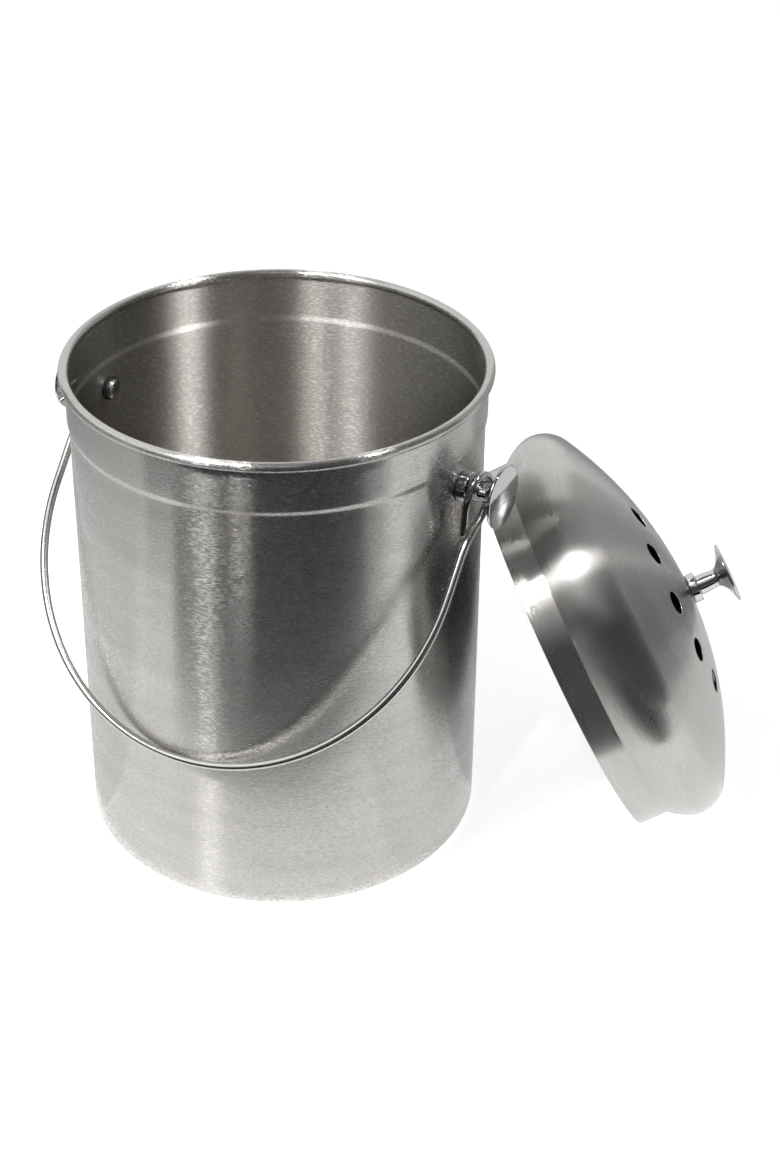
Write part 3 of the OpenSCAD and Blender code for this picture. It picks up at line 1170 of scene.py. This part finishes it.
@dataclass
class Lid:
    """The pressed lid with its ring of vents, in its own frame: Z is its axis and the skirt's
    edge is at zero. Lengths are in millimetres and angles in degrees. Each vent is cut from a
    patch of the crown that reaches block steps to each side."""

    steel: bpy.types.Material
    skirt_r: float = 83.4
    skirt_h: float = 12.3
    lid_r: float = 89.6
    shoulder_z: float = 26.0
    height: float = 61.0
    crown_r: float = 166.0
    sheet: float = 0.7
    vent_count: int = 12
    vent_r: float = 5.1
    vent_ring_r: float = 44.0
    lean: float = 26.2
    bearing: float = 35.0
    roll_off: float = 5.8
    spin: float = 28.0
    touch_r: float = 85.3
    skirt_edge: float = 0.4
    flare_out: float = 2.2
    flare_up: float = 2.7
    flare_down: float = 5.5
    burr: float = 0.15
    steps: int = 192
    block: int = 5

    @property
    def place(self) -> Matrix:
        """The matrix that carries the lid from its own frame to where it leans.

        Returns:
            The matrix.
        """
        lean, off = math.radians(self.lean), math.radians(self.roll_off)
        slope = math.sin(lean) * math.tan(off)
        touch = self.touch_r / math.sqrt(1 + slope * slope)
        out = touch + self.skirt_r * math.sin(lean) * math.cos(off)
        side = -touch * slope - self.skirt_r * math.sin(off)
        up = self.skirt_r * math.cos(lean)
        return (
            Matrix.Rotation(math.radians(self.bearing), 4, "Z")
            @ Matrix.Translation(Vector((out, side, up)) * MM)
            @ Matrix.Rotation(math.pi / 2 - lean, 4, "Y")
            @ Matrix.Rotation(math.radians(self.spin), 4, "Z")
        )

    def crown_point(self, radius: float) -> Point:
        """A point of the crown at a distance from the axis."""
        return (radius, self.height - self.crown_r + math.sqrt(self.crown_r**2 - radius**2))

    def vent_rows(self) -> list[float]:
        """The distances from the axis of the rows round the vents, from the outermost."""
        pitch = 2 * math.pi * self.vent_ring_r / self.steps
        return [self.vent_ring_r + pitch * i for i in range(self.block, -self.block - 1, -1)]

    def profile(self) -> list[Point]:
        """The outside of the lid, from the skirt's edge to the middle of the crown.

        Returns:
            The profile's points.
        """
        centre = self.height - self.crown_r
        up = self.shoulder_z - centre
        shoulder_r = (self.crown_r**2 - self.lid_r**2 - up**2) / (2 * (self.crown_r - self.lid_r))
        shoulder_x = self.lid_r - shoulder_r
        end = math.degrees(math.atan2(up, shoulder_x))
        heights = (0, self.skirt_edge, 2, 4, 6, 8, 10, self.skirt_h - self.skirt_edge)
        skirt = [(self.skirt_r, z) for z in heights]
        flare = cubic(
            (self.skirt_r, self.skirt_h),
            (self.skirt_r + self.flare_out, self.skirt_h + self.flare_up),
            (self.lid_r, self.shoulder_z - self.flare_down),
            (self.lid_r, self.shoulder_z),
            18,
        )
        shoulder = arc(shoulder_x, self.shoulder_z, shoulder_r, 0, end, 22)[1:]
        rows = self.vent_rows()
        meet = shoulder[-1][0]
        outer = [self.crown_point(meet + (rows[0] - meet) * i / 14) for i in range(1, 14)]
        middle = [self.crown_point(r) for r in rows]
        inner = [self.crown_point(rows[-1] * i / 16) for i in range(15, -1, -1)]
        return skirt + flare + shoulder + outer + middle + inner

    def cut_vents(self, bm: bmesh.types.BMesh) -> None:
        """Opens the ring of vents: a patch of the crown gives way to a round hole, joined to
        the patch's border.

        Args:
            bm: the lid's mesh.
        """
        run = bm.verts.layers.float[RUN_LAYER]
        apex = max(v[run] for v in bm.verts)
        rows = self.vent_rows()
        low, high = rows[-1] * MM, rows[0] * MM
        half = 2 * math.pi / self.steps * self.block
        for k in range(self.vent_count):
            home = 2 * math.pi * k / self.vent_count
            patch = []
            for face in bm.faces:
                middle = face.calc_center_median()
                turn = math.remainder(math.atan2(middle.y, middle.x) - home, 2 * math.pi)
                in_ring = low < math.hypot(middle.x, middle.y) < high
                if in_ring and abs(turn) < half and middle.z > self.shoulder_z * MM:
                    patch.append(face)
            inside = set(patch)
            edges = dict.fromkeys(e for f in patch for e in f.edges)
            border = [e for e in edges if sum(g in inside for g in e.link_faces) == 1]
            bmesh.ops.delete(bm, geom=patch, context="FACES")
            border = [e for e in border if e.is_valid]
            out = Matrix.Translation((self.vent_ring_r * MM, 0, 0))
            hole = bmesh.ops.create_circle(
                bm,
                segments=len(border),
                radius=self.vent_r * MM,
                matrix=Matrix.Rotation(home, 4, "Z") @ out,
            )["verts"]
            for vert in hole:
                radius = math.hypot(vert.co.x, vert.co.y)
                vert.co.z = self.crown_point(radius / MM)[1] * MM
                vert[run] = apex - self.crown_r * MM * math.asin(radius / MM / self.crown_r)
            ring = list({e for v in hole for e in v.link_edges})
            bmesh.ops.bridge_loops(bm, edges=border + ring)

    def build(self) -> None:
        """Builds the lid's shell and dresses it."""
        bm = bmesh.new()
        spin_profile(bm, self.profile(), self.steps)
        self.cut_vents(bm)
        bmesh.ops.recalc_face_normals(bm, faces=bm.faces[:])
        if max(bm.faces, key=lambda f: f.calc_center_median().z).normal.z < 0:
            bmesh.ops.reverse_faces(bm, faces=bm.faces[:])
        map_turned(bm)
        shell = finish_mesh("lid_pressed_steel", bm, self.place, self.steel, sharp=24)
        wall = shell.modifiers.new("sheet", "SOLIDIFY")
        wall.thickness = self.sheet * MM
        wall.offset = -1
        wall.use_even_offset = True
        burr = shell.modifiers.new("edge", "BEVEL")
        burr.width = self.burr * MM
        burr.segments = 2
        burr.limit_method = "ANGLE"
        burr.angle_limit = math.radians(60)
        keep(shell, Body.LID, Slot.LID, "lid_shell")


# ---------------------------------------------------------------- the studio


@dataclass(frozen=True)
class Panel:
    """A plain panel of the tent round the table, or a plain sheet on the floor, which only
    reflections show. Azimuths are in degrees, the reach is in degrees above the floor for a
    panel and in metres from the bucket's axis for a sheet, and level 1 is white."""

    name: str
    azimuths: Point
    reach: Point
    level: float


TENT = (
    Panel("card_front", (-105, -45), (-1, 40), 0.07),
    Panel("card_front_high", (-105, -45), (40, 62), 0.6),
    Panel("card_right", (-45, 45), (-1, 62), 0.085),
    Panel("card_back_right", (45, 90), (-1, 62), 0.42),
    Panel("card_back", (90, 165), (-1, 62), 0.92),
    Panel("card_left", (165, 255), (20, 62), 1.2),
    Panel("card_left_low", (165, 255), (-1, 20), 0.05),
    Panel("card_top_left", (120, 270), (62, 90), 0.2),
    Panel("card_top_right", (-90, 120), (62, 90), 0.3),
)
SHEETS = (
    Panel("floor_front", (-135, -20), (0.09, 0.6), 1.16),
    Panel("floor_right", (-20, 28), (0.09, 2.8), 1.05),
    Panel("floor_right_edge", (28, 60), (0.09, 2.8), 0.75),
    Panel("floor_back", (60, 108), (0.09, 0.4), 0.66),
    Panel("floor_far_back", (60, 108), (0.4, 2.8), 0.35),
    Panel("floor_back_turn", (108, 118), (0.09, 2.8), 0.7),
    Panel("floor_left_turn", (118, 128), (0.09, 2.8), 0.82),
    Panel("floor_left", (128, 225), (0.09, 0.36), 1.0),
    Panel("floor_far_left_turn", (128, 140), (0.36, 2.8), 0.65),
    Panel("floor_far_left", (140, 232), (0.36, 2.8), 0.42),
    Panel("floor_left_gap", (-128, -100), (0.36, 2.8), 0.02),
)

# The dark floor's outline, as azimuth in degrees and metres from the bucket's axis.
ROOM_EDGE = (
    (-112, 2.6), (-112, 0.27), (-105, 0.22), (-97, 0.19), (-85, 0.175),
    (-65, 0.172), (-45, 0.18), (-32, 0.2), (-22, 0.235), (-14, 0.29),
    (-8, 0.36), (-4, 0.5), (0, 0.9), (0, 2.6), (-56, 3.6),
)


@dataclass
class Studio:
    """A pale floor that fades into a white background, soft lamps, dark and light cards that
    only reflections show, and the camera. Lengths are in metres."""

    image: tuple[int, int] = (780, 1170)
    eye: tuple[float, float, float] = (0.4298, -0.7013, 0.6277)
    forward: tuple[float, float, float] = (-0.39978, 0.74417, -0.53516)
    right: tuple[float, float, float] = (0.88093, 0.47326, 0.0)
    roll: float = 0.0135
    focal_px: float = 2265.8
    middle_z: float = 0.1
    aim: tuple[float, float, float] = (0.05, 0.02, 0.1)
    lamp_distance: float = 1.6
    tent_distance: float = 3.0
    room_level: float = 0.2
    floor_lift: float = 0.8
    floor_drop: float = 0.0002
    fibres_per_mm: float = 0.9
    sheet_height: float = 0.001
    sheet_step: float = 0.0002
    dark_height: float = 0.004
    dark_level: float = 0.005
    stages: list[bpy.types.Object] = field(default_factory=list)

    def camera(self) -> None:
        """Makes the camera."""
        data = bpy.data.cameras.new("camera")
        data.sensor_fit = "AUTO"
        data.sensor_width = 36.0
        data.lens = self.focal_px / max(self.image) * data.sensor_width
        data.clip_start, data.clip_end = 0.01, 50
        forward = Vector(self.forward).normalized()
        right = Vector(self.right).normalized()
        up = right.cross(forward)
        turned_right = math.cos(self.roll) * right + math.sin(self.roll) * up
        turned_up = -math.sin(self.roll) * right + math.cos(self.roll) * up
        axes = Matrix((turned_right, turned_up, -forward)).transposed().to_4x4()
        camera = bpy.data.objects.new("camera", data)
        camera.matrix_world = Matrix.Translation(self.eye) @ axes
        bpy.context.scene.collection.objects.link(camera)
        bpy.context.scene.camera = camera

    @staticmethod
    def sees_white(tree: bpy.types.NodeTree) -> bpy.types.NodeSocket:
        """Tells the rays that see the white studio, those of the camera, gloss and glass, from
        the rays that light the object.

        Args:
            tree: the node tree to add to.

        Returns:
            The socket with 1 for the rays that see white.
        """
        rays = add_node(tree, "ShaderNodeLightPath")
        seen = rays.outputs["Is Camera Ray"]
        for kind in ("Is Glossy Ray", "Is Transmission Ray"):
            both = add_node(
                tree,
                "ShaderNodeMath",
                {"operation": "ADD", "use_clamp": True},
                i0=seen,
                i1=rays.outputs[kind],
            )
            seen = both.outputs[0]
        return seen

    def world(self) -> None:
        """Makes a white background, and an even pale room that lights the object."""
        world = bpy.data.worlds.new("studio")
        bpy.context.scene.world = world
        world.use_nodes = True
        tree = world.node_tree
        tree.nodes.clear()
        white = add_node(tree, "ShaderNodeBackground", Color=linear("#ffffff"), Strength=1.0)
        room = add_node(
            tree, "ShaderNodeBackground", Color=linear("#f4f5f7"), Strength=self.room_level
        )
        mixed = add_node(
            tree,
            "ShaderNodeMixShader",
            Fac=self.sees_white(tree),
            i1=room.outputs[0],
            i2=white.outputs[0],
        )
        add_node(tree, "ShaderNodeOutputWorld", Surface=mixed.outputs[0])

    def floor(self) -> None:
        """Lays the floor: white paper that keeps the object's shadow. Its fibres are drawn about
        1.1 mm apart, coarser than the real ones."""
        material, tree = new_material("matte white paper")
        place = add_node(tree, "ShaderNodeTexCoord")
        fibre = add_node(
            tree,
            "ShaderNodeTexNoise",
            Vector=place.outputs["Object"],
            Scale=self.fibres_per_mm / MM,
            Detail=3.0,
        )
        tint = ramp(tree, fibre.outputs[0], [(0.3, "#ebebea"), (0.7, "#eeeeed")])
        lift = add_node(
            tree,
            "ShaderNodeMath",
            {"operation": "MULTIPLY"},
            i0=self.sees_white(tree),
            i1=self.floor_lift,
        )
        shader = add_node(
            tree,
            "ShaderNodeBsdfPrincipled",
            Base_Color=tint.outputs[0],
            Roughness=0.9,
            Emission_Color=linear("#ffffff"),
            Emission_Strength=lift.outputs[0],
        )
        add_node(tree, "ShaderNodeOutputMaterial", Surface=shader.outputs[0])
        bm = bmesh.new()
        bmesh.ops.create_grid(bm, x_segments=8, y_segments=8, size=6.0)
        floor = finish_mesh("floor", bm, Matrix.Translation((0, 0, -self.floor_drop)), material)
        self.stages.append(floor)

    def lamp(
        self,
        name: str,
        spot: Sequence[float],
        size: tuple[float, float],
        watts: float,
        aim: Sequence[float],
        tilt: float = 0.0,
    ) -> None:
        """Hangs a soft lamp.

        Args:
            name: its name.
            spot: its middle.
            size: its width and height, in metres.
            watts: its power.
            aim: the point that it faces.
            tilt: how far it is turned about its own axis, in degrees.
        """
        data = bpy.data.lights.new(name, "AREA")
        data.shape = "RECTANGLE"
        data.size, data.size_y = size
        data.energy = watts
        lamp = bpy.data.objects.new(name, data)
        lamp.location = spot
        facing = (Vector(aim) - Vector(spot)).to_track_quat("-Z", "Y")
        lamp.rotation_euler = (facing @ Quaternion((0, 0, 1), math.radians(tilt))).to_euler()
        bpy.context.scene.collection.objects.link(lamp)

    def snoot(
        self,
        name: str,
        spot: Sequence[float],
        radius: float,
        watts: float,
        pool: float,
        aim: Sequence[float],
    ) -> None:
        """Hangs a lamp with a narrow cone, as from a long hood, for one part of the bucket.

        Args:
            name: its name.
            spot: its middle.
            radius: its radius, in metres.
            watts: its power.
            pool: the radius of the pool of light round the point that it faces, in metres.
            aim: that point.
        """
        data = bpy.data.lights.new(name, "SPOT")
        data.shadow_soft_size = radius
        data.energy = watts
        data.spot_size = 2 * math.atan(pool / math.dist(spot, aim))
        data.spot_blend = 0.3
        lamp = bpy.data.objects.new(name, data)
        lamp.location = spot
        lamp.rotation_euler = (Vector(aim) - Vector(spot)).to_track_quat("-Z", "Y").to_euler()
        bpy.context.scene.collection.objects.link(lamp)

    @staticmethod
    def glow(level: float) -> bpy.types.Material:
        """Makes a plain card's material.

        Args:
            level: its brightness, where 1 is white.

        Returns:
            The material.
        """
        material, tree = new_material(f"card at {level:.2f}")
        glow = add_node(tree, "ShaderNodeEmission", Color=linear("#ffffff"), Strength=level)
        add_node(tree, "ShaderNodeOutputMaterial", Surface=glow.outputs[0])
        return material

    def hide_from_camera(self, card: bpy.types.Object) -> None:
        """Leaves a card to reflections alone: of all rays, only glossy ones meet it.

        Args:
            card: the card.
        """
        for ray in ("camera", "diffuse", "transmission", "volume_scatter", "shadow"):
            setattr(card, f"visible_{ray}", False)
        self.stages.append(card)

    @staticmethod
    def ray_point(azimuth: float, distance: float) -> tuple[float, float]:
        """A point of the floor, by its azimuth in degrees and its distance from the axis."""
        angle = math.radians(azimuth)
        return (distance * math.cos(angle), distance * math.sin(angle))

    def panel(self, panel: Panel, place: Callable[[float, float], Sequence[float]]) -> None:
        """Puts up a panel or lays a sheet.

        Args:
            panel: the panel.
            place: turns an azimuth in degrees and a reach to a point of the studio.
        """
        bm = bmesh.new()
        bmesh.ops.create_grid(bm, x_segments=12, y_segments=3, size=0.5)
        (a, b), (c, d) = panel.azimuths, panel.reach
        for vert in bm.verts:
            vert.co = place(a + (b - a) * (vert.co.x + 0.5), c + (d - c) * (vert.co.y + 0.5))
        card = finish_mesh(panel.name, bm, Matrix.Identity(4), self.glow(panel.level))
        self.hide_from_camera(card)

    def tent(self) -> None:
        """Puts up the tent, and lays the floor's sheets, each a little above the last. The tent
        is palest behind and high on the left, and darkest on the right, low in front and low on
        the left. The sheets are greyer far behind the bucket."""
        for panel in TENT:
            self.panel(panel, lambda a, e: self.studio_point(a, e, self.tent_distance))
        for turn, sheet in enumerate(SHEETS):
            height = self.sheet_height + self.sheet_step * turn
            self.panel(sheet, lambda a, r: (*self.ray_point(a, r), height))

    def dark_room(self) -> None:
        """Lays the dark floor of the room beyond the table's rounded front edge."""
        bm = bmesh.new()
        corners = [self.ray_point(a, r) for a, r in ROOM_EDGE]
        bm.faces.new([bm.verts.new((x, y, self.dark_height)) for x, y in corners])
        bmesh.ops.recalc_face_normals(bm, faces=bm.faces[:])
        card = finish_mesh("dark_floor", bm, Matrix.Identity(4), self.glow(self.dark_level))
        self.hide_from_camera(card)

    def studio_point(
        self, azimuth: float, elevation: float, distance: float
    ) -> tuple[float, float, float]:
        """A point of the studio, as seen from the bucket.

        Args:
            azimuth: degrees round Z from +X.
            elevation: degrees above the floor.
            distance: metres from the bucket.

        Returns:
            The point.
        """
        a, e = math.radians(azimuth), math.radians(elevation)
        return (
            distance * math.cos(e) * math.cos(a),
            distance * math.cos(e) * math.sin(a),
            self.middle_z + distance * math.sin(e),
        )

    def build(self) -> None:
        """Sets up the whole studio."""
        self.camera()
        self.world()
        self.floor()
        far = self.lamp_distance
        spot = self.studio_point(-110, 53, far)
        self.lamp("key", spot, (0.2, 0.56), 5, self.aim, tilt=-32)
        spot = self.studio_point(-97, 63, far)
        self.lamp("key_high", spot, (0.2, 0.3), 1.4, self.aim, tilt=-32)
        spot = self.studio_point(-89, 60, far)
        self.snoot("snoot_front", spot, 0.14, 350, 0.045, (-0.029, 0.08, 0.14))
        self.snoot("snoot_right", (0.41, 0.13, 0.87), 0.12, 68, 0.07, (-0.07, 0.048, 0.14))
        spot = self.studio_point(-116, 56, far)
        self.snoot("snoot_wall", spot, 0.2, 200, 0.1, (-0.03, -0.08, 0.1))
        self.tent()
        self.dark_room()
        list(self.stages)
        scene = bpy.context.scene
        scene.view_settings.view_transform = "Standard"


# ---------------------------------------------------------------- everything together


def main() -> None:
    """Loads the frame, builds the caddy's pieces in order and sets up the studio."""
    logging.basicConfig(level=logging.INFO, format="%(message)s", force=True)
    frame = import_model()

    finish = Finishes()
    bucket = Bucket(finish.steel, finish.inner_steel)
    bucket.build()
    knob = TurnedKnob(finish.chrome)
    for side in Side:
        name = side.name.lower()
        ear = Matrix.Translation((side.value * bucket.wall_r * MM, 0, bucket.ear_z * MM))
        place = ear @ Matrix.Rotation(side.value * math.pi / 2, 4, "Y")
        knob.build(f"ear_{name}", place, Body.BUCKET, f"ear_collar_{name}", f"ear_stud_{name}")
        dress(frame, f"ear_screw_{name}", finish.zinc)
        dress(frame, f"ear_seal_{name}", finish.rubber)
    Bail(finish.wire, bucket.ear_z, bucket.wall_r).build()
    lid = Lid(finish.lid_steel)
    lid.build()
    on_crown = lid.place @ Matrix.Translation((0, 0, lid.height * MM))
    knob.build("lid", on_crown, Body.LID, "knob_collar", "lid_knob")
    dress(frame, "knob_screw", finish.zinc)
    dress(frame, "knob_lock_washer", finish.spring)
    dress(frame, "filter_holder", finish.plastic)
    dress(frame, "filter_cover", finish.plastic)
    dress(frame, "charcoal_filter", finish.felt)

    Studio().build()


if __name__ == "__main__":
    main()
